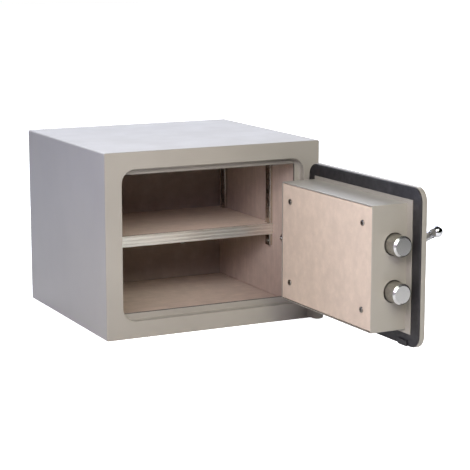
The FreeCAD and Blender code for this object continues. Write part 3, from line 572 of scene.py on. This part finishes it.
def make_door_panel():
    """Felt over a board, pulled in a little round each screw; made on the shut door, then opened with it."""
    opened = opening_turn()
    low, high = shut_box("back_panel", opened)
    first, last = shut_box("panel_screws", opened)
    screw_x = (first.x + SCREW_HEAD_R, last.x - SCREW_HEAD_R)
    screw_z = (first.z + SCREW_HEAD_R, last.z - SCREW_HEAD_R)
    screws = [(x, z) for x in screw_x for z in screw_z]

    def dimple(point):
        near = min(math.hypot(point.x - x, point.z - z) for x, z in screws)
        fade = min(1.0, max(0.0, (near - SCREW_HEAD_R) / (DIMPLE_R - SCREW_HEAD_R)))
        return PANEL_PROUD * (1.0 - smooth_step(fade))

    corner = Vector((low.x, high.y + PANEL_PROUD, low.z))
    across = X * (high.x - low.x)
    up = Z * (high.z - low.z)
    depth = -Y * (high.y - low.y + PANEL_PROUD)
    build = cloth_board(
        corner, across, up, depth, rim=PANEL_RIM, sag=PANEL_SAG, cell=PANEL_CELL, press=dimple
    )
    piece = make_piece("felt_door_panel", build, "felt_panel")
    middle_y = (low.y + high.y) / 2
    cut_away(piece, [round_cutter(Vector((x, middle_y, z)), Y, SCREW_HOLE_R, sides=24) for x, z in screws])
    piece.data.transform(opened)
    install(piece, "door", "back_panel")


# ------------------------------------------------------------------ shelf mat
MAT_SAG = 0.3 * MM
MAT_PLAY = 1.5 * MM


def notch_cutter(upright, top):
    """Round one upright with some play, no higher than the mat needs."""
    low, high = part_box(upright)
    play = Vector((MAT_PLAY, MAT_PLAY, MAT_PLAY))
    high.z = top
    return box_cutter(low - play, high + play)


def make_shelf_mat():
    """Felt mat on the shelf, notched round the uprights, with a dark cut edge behind the trim that is also painted
    shade along the trim's top.
    """
    low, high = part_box("shelf_mat")
    size = high - low
    corner = Vector((low.x, low.y, high.z))
    build = cloth_board(corner, X * size.x, Y * size.y, -Z * size.z, sag=MAT_SAG)
    piece = make_piece("felt_shelf_mat", build, "felt_floor")
    cut_away(piece, [notch_cutter(upright, high.z) for upright in UPRIGHTS])
    mesh = piece.data
    # Front faces take the dark board edge: partly a cut edge, partly a painted shadow line.
    mesh.materials.append(materials["cut_edge_and_shade_line"])
    for face in mesh.polygons:
        if face.normal.y < -0.9:
            face.material_index = 1
    install(piece, "shelf", "shelf_mat")


# ------------------------------------------------------------------ floor and room
FLOOR_HALF = 15.0
TABLE_EDGE = -1.4
TABLE_FADE = 0.1
GLOW_TOWARD = Vector((0.0, 1.0, 0.1))
GLOW_COLOUR = (1.66, 1.72, 1.96, 1.0)
WHITE = (1.0, 1.0, 1.0, 1.0)


def make_floor():
    """White to the camera; for bounced light and reflections a pale table that ends in front of the safe."""
    look = Shader("floor")
    seen = look.add("ShaderNodeLightPath").outputs["Is Camera Ray"]
    split = look.add("ShaderNodeSeparateXYZ")
    look.link(look.place, split.inputs["Vector"])
    table = look.span(split.outputs["Y"], TABLE_EDGE - TABLE_FADE, TABLE_EDGE, 0.04, 0.94)
    look.set(Base_Color=look.mix(seen, table, (0.9, 0.9, 0.9)), Roughness=0.6, Specular_IOR_Level=0.1)
    look.set(Emission_Color=WHITE, Emission_Strength=seen)
    build = bmesh.new()
    bmesh.ops.create_grid(build, x_segments=1, y_segments=1, size=FLOOR_HALF)
    floor = place_mesh("floor", build)
    floor.data.materials.append(look.material)


def make_world():
    """White to the camera; for light and reflections a dark room with one soft glow behind the safe."""
    world = bpy.data.worlds.new("studio")
    bpy.context.scene.world = world
    world.use_nodes = True
    nodes = world.node_tree.nodes
    links = world.node_tree.links
    nodes.clear()

    toward = nodes.new("ShaderNodeVectorMath")
    toward.operation = "DOT_PRODUCT"
    toward.inputs[1].default_value = GLOW_TOWARD.normalized()
    links.new(nodes.new("ShaderNodeTexCoord").outputs["Generated"], toward.inputs[0])
    glow = nodes.new("ShaderNodeMapRange")
    glow.interpolation_type = "SMOOTHSTEP"
    glow.inputs["From Min"].default_value = 0.3
    glow.inputs["From Max"].default_value = 0.9
    links.new(toward.outputs["Value"], glow.inputs["Value"])

    room = nodes.new("ShaderNodeBackground")
    room.inputs["Color"].default_value = GLOW_COLOUR
    links.new(glow.outputs["Result"], room.inputs["Strength"])
    white = nodes.new("ShaderNodeBackground")
    white.inputs["Color"].default_value = WHITE
    path = nodes.new("ShaderNodeLightPath")
    either = nodes.new("ShaderNodeMixShader")
    links.new(path.outputs["Is Camera Ray"], either.inputs[0])
    links.new(room.outputs[0], either.inputs[1])
    links.new(white.outputs[0], either.inputs[2])
    output = nodes.new("ShaderNodeOutputWorld")
    links.new(either.outputs[0], output.inputs["Surface"])


# ------------------------------------------------------------------ lamps and camera
AIM = Vector((0.05, -0.25, 0.15))
LAMPS = {  # name: place, width and height, watts, colour
    "key": ((-0.5, -1.2, 1.0), (0.9, 0.6), 9.5, (0.98, 1.04, 0.97)),
    "side": ((-0.9, -1.25, 0.85), (0.9, 0.6), 11.5, (0.95, 0.83, 1.05)),
    "front": ((-0.2, -3.3, 2.1), (1.2, 1.2), 34.0, (1.0, 0.99, 0.84)),
    "glint": ((0.9, -2.2, 2.3), (1.0, 1.0), 3.6, (1.0, 1.0, 1.0)),
    "right": ((2.0, 0.9, 1.1), (1.4, 1.2), 22.0, (1.0, 1.0, 1.0)),
    "left": ((-1.9, 1.5, 0.2), (1.2, 0.6), 7.5, (0.05, 0.25, 1.0)),
    "back": ((-0.2, 1.9, 1.8), (1.4, 1.2), 16.0, (0.9, 0.95, 1.1)),
}
CAMERA_PLACE = (-1.2732, -2.8225, 0.7232)
CAMERA_DOWN_DEG = 10.53
CAMERA_TURN_DEG = -26.66
LENS_MM = 120.25
SENSOR_MM = 36.0
FARTHEST = 60.0


def make_lamps():
    """Large soft lamps round the safe, all aimed at its front."""
    for name, (place, size, watts, colour) in LAMPS.items():
        light = bpy.data.lights.new(name, "AREA")
        light.shape = "RECTANGLE"
        light.size, light.size_y = size
        light.energy = watts
        light.color = colour
        lamp = bpy.data.objects.new(name, light)
        lamp.location = place
        lamp.rotation_euler = (AIM - Vector(place)).to_track_quat("-Z", "Y").to_euler()
        bpy.context.scene.collection.objects.link(lamp)


def make_camera():
    """A long lens from the front left, looking a little down."""
    data = bpy.data.cameras.new("camera")
    data.sensor_width = SENSOR_MM
    data.lens = LENS_MM
    data.clip_end = FARTHEST
    camera = bpy.data.objects.new("camera", data)
    camera.location = CAMERA_PLACE
    camera.rotation_euler = Euler((math.radians(90.0 - CAMERA_DOWN_DEG), 0.0, math.radians(CAMERA_TURN_DEG)))
    bpy.context.scene.collection.objects.link(camera)
    bpy.context.scene.camera = camera


# ------------------------------------------------------------------ everything, in order
finish_cad_nodes()
make_linings()
make_door_panel()
make_shelf_mat()
make_floor()
make_world()
make_lamps()
make_camera()
bpy.context.scene.view_settings.view_transform = "Standard"
